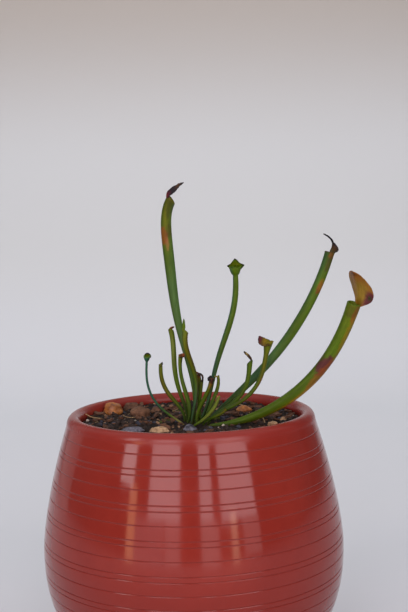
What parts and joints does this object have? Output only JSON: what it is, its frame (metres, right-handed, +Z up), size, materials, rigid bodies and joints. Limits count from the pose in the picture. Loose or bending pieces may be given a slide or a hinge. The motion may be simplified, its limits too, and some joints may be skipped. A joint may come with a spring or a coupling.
{
  "type": "potted pitcher plant",
  "caption": "Young purple pitcher plant with slender trumpet leaves, standing in soil in a round, ribbed, glazed pot.",
  "frame": {"origin": "centre of the pot's flat foot", "axes": "+Z up, the front is -Y, the two longest leaning pitchers reach out towards +X"},
  "size_m": [0.1386, 0.13, 0.2098],
  "materials": {
    "pot_glaze": "gloss",
    "soil": "matte",
    "rhizome": "matte",
    "pitcher_leaf": "satin",
    "orange_stone": "matte",
    "brown_stone": "matte",
    "grey_stone": "matte",
    "tan_stone": "matte"
  },
  "bodies": {
    "root": {"pot": "pot_glaze", "soil": "soil", "rhizome": "rhizome", "pitcher_01": "pitcher_leaf", "pitcher_02": "pitcher_leaf", "pitcher_03": "pitcher_leaf", "pitcher_04": "pitcher_leaf", "pitcher_05": "pitcher_leaf", "pitcher_06": "pitcher_leaf", "pitcher_07": "pitcher_leaf", "pitcher_08": "pitcher_leaf", "pitcher_09": "pitcher_leaf", "pitcher_10": "pitcher_leaf", "pitcher_11": "pitcher_leaf", "pitcher_12": "pitcher_leaf", "pitcher_13": "pitcher_leaf", "pitcher_14": "pitcher_leaf", "pitcher_15": "pitcher_leaf", "pitcher_16": "pitcher_leaf", "pitcher_17": "pitcher_leaf", "stone_01": "orange_stone", "stone_02": "brown_stone", "stone_03": "brown_stone", "stone_04": "brown_stone", "stone_05": "orange_stone", "stone_06": "grey_stone", "stone_07": "grey_stone", "stone_08": "tan_stone", "stone_09": "tan_stone", "stone_10": "tan_stone"}
  },
  "joints": []
}
